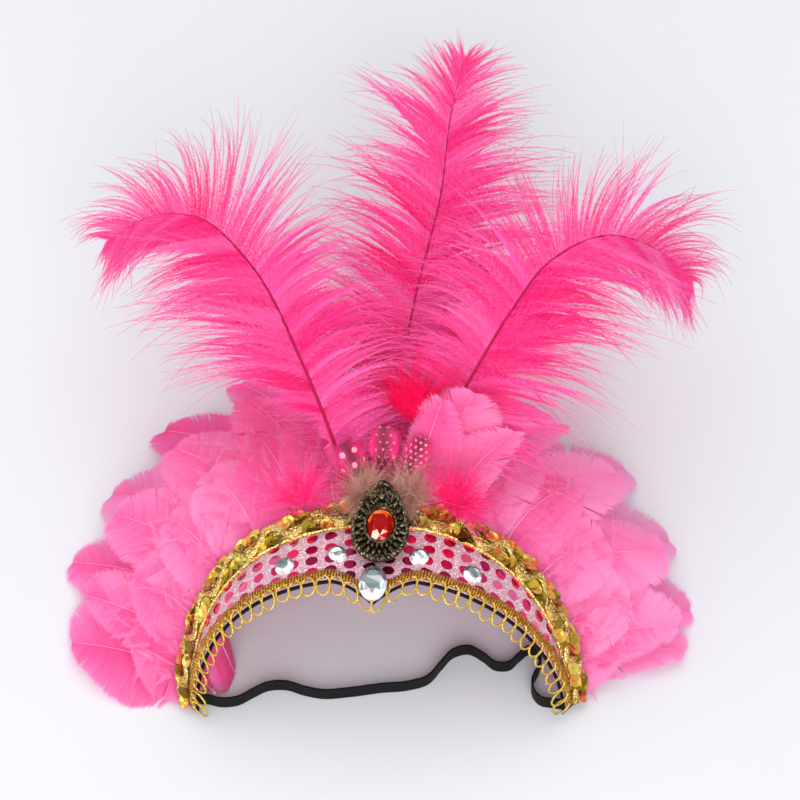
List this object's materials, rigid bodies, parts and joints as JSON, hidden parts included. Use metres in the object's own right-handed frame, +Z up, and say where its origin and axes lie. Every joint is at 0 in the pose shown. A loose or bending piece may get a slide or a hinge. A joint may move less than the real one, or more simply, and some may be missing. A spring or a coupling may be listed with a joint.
{
  "type": "feather headband",
  "caption": "Stage headband: a stiff sequined crescent with gold braid, brooch and stones, ostrich plumes and fanned goose feathers, and an elastic strap, lying on its back.",
  "frame": {"origin": "middle of the base of the box round the part without its strap, on the surface it lies on", "axes": "+X from the left end of the band to the right end as seen from the front, +Y the way the plumes point, +Z up from the surface, the side worn to the front"},
  "size_m": [0.3176, 0.3352, 0.129],
  "materials": {
    "black_buckram": "stiff black cloth",
    "black_elastic": "woven elastic",
    "sequin_cloth": "pale pink glitter cloth with foil dots",
    "gold_sequins": "metallic gold sequins on braid",
    "gold_gimp": "metallic gold braid",
    "antique_brass": "cast, darkened",
    "red_acrylic": "faceted, foil backed",
    "clear_acrylic": "faceted, foil backed",
    "goose_feather": "dyed feather, soft sheen",
    "ostrich_plume": "dyed feather, soft sheen",
    "marabou": "dyed down",
    "guinea_feather": "dyed spotted feather",
    "grey_down": "natural down"
  },
  "bodies": {
    "root": {"band_backing": "black_buckram", "band_facing": "sequin_cloth", "brooch_setting": "antique_brass", "brooch_stone": "red_acrylic", "down_left": "grey_down", "down_right": "grey_down", "drop_stone": "clear_acrylic", "elastic_strap": "black_elastic", "gimp_braid": "gold_gimp", "goose_crest_1": "goose_feather", "goose_left_1": "goose_feather", "goose_left_2": "goose_feather", "goose_left_3": "goose_feather", "goose_left_4": "goose_feather", "goose_left_5": "goose_feather", "goose_left_6": "goose_feather", "goose_left_7": "goose_feather", "goose_left_8": "goose_feather", "goose_left_9": "goose_feather", "goose_right_1": "goose_feather", "goose_right_2": "goose_feather", "goose_right_3": "goose_feather", "goose_right_4": "goose_feather", "goose_right_5": "goose_feather", "goose_right_6": "goose_feather", "goose_right_7": "goose_feather", "goose_right_8": "goose_feather", "goose_right_9": "goose_feather", "guinea_centre": "guinea_feather", "guinea_left": "guinea_feather", "guinea_right": "guinea_feather", "loop_wire": "gold_gimp", "marabou_centre": "marabou", "marabou_left": "marabou", "marabou_right": "marabou", "plume_centre": "ostrich_plume", "plume_left": "ostrich_plume", "plume_right": "ostrich_plume", "round_stone_1": "clear_acrylic", "round_stone_2": "clear_acrylic", "round_stone_3": "clear_acrylic", "round_stone_4": "clear_acrylic", "sequin_braid": "gold_sequins"}
  },
  "joints": []
}
